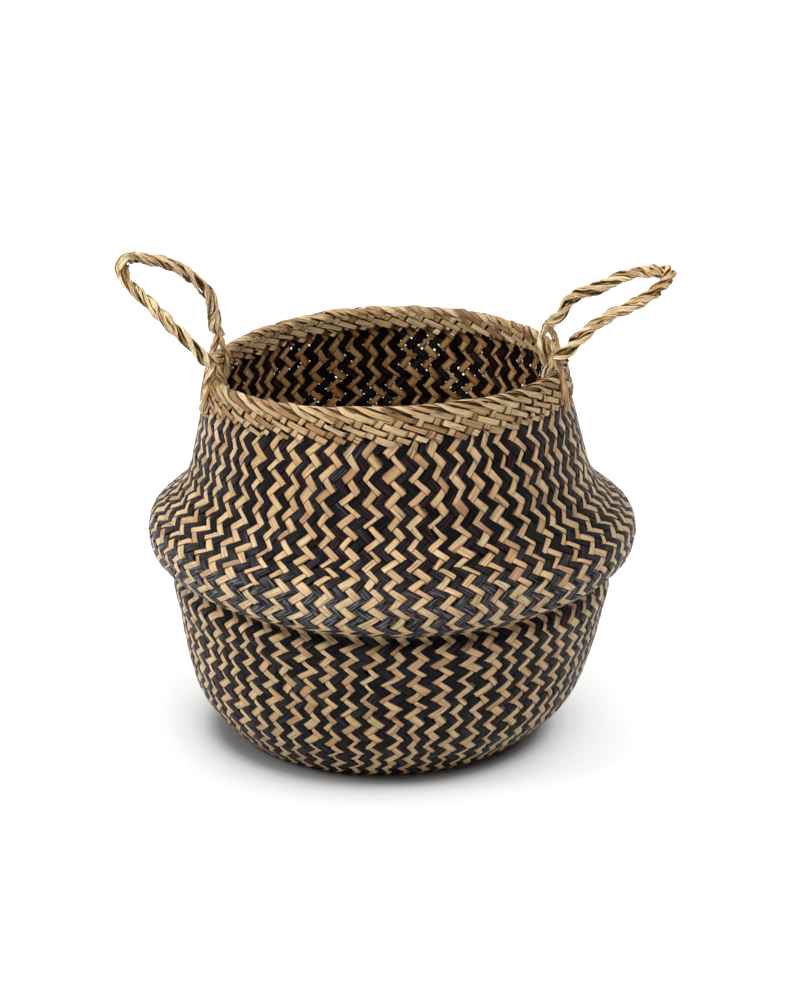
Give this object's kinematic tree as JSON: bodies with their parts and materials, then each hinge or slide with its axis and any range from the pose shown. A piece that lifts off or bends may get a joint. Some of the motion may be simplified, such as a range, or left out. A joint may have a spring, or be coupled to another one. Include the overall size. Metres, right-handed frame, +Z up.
{
  "type": "seagrass basket",
  "caption": "Round belly basket plaited from natural and black seagrass, with a folded rolled belly, a conical neck, a toothed rim band and rope handles lashed through the wall.",
  "frame": {"origin": "centre of the base, on the surface that it stands on", "axes": "+Z up, the two handles lean out along -X and +X, the pictured side faces -Y"},
  "size_m": [0.4034, 0.36, 0.3612],
  "materials": {
    "two_tone_weave": "plaited natural and black seagrass strips, dry satin",
    "base_weave": "plaited natural and black seagrass strips, matt, shaded",
    "natural_band": "plaited natural seagrass, straw to tan, dry satin",
    "twisted_rope": "two-strand twisted natural seagrass rope"
  },
  "bodies": {
    "bowl": {"base_mat": "base_weave", "bowl_foot": "two_tone_weave", "bowl_round": "two_tone_weave", "bowl_side": "two_tone_weave", "bowl_tuck": "two_tone_weave", "belly_underside": "two_tone_weave", "belly_shoulder": "two_tone_weave"},
    "collar": {"neck_wall": "two_tone_weave", "rim_outer_band": "natural_band", "rim_inner_band": "natural_band", "rim_edge_roll": "natural_band", "left_front_lashing": "twisted_rope", "left_back_lashing": "twisted_rope", "right_front_lashing": "twisted_rope", "right_back_lashing": "twisted_rope"},
    "left_loop": {"left_handle": "twisted_rope"},
    "right_loop": {"right_handle": "twisted_rope"}
  },
  "joints": [
    {"name": "collar_press", "type": "slide", "parent": "bowl", "child": "collar", "axis": [0, 0, 1], "range_m": [-0.028, 0.01], "deforming": ["belly_shoulder"]},
    {"name": "left_handle_swing", "type": "hinge", "parent": "collar", "child": "left_loop", "pos_m": [-0.12241, 0, 0.2886], "axis": [0, -1, 0], "range_deg": [-134, 52]},
    {"name": "right_handle_swing", "type": "hinge", "parent": "collar", "child": "right_loop", "pos_m": [0.12028, 0, 0.29634], "axis": [0, 1, 0], "range_deg": [-149, 39]}
  ]
}
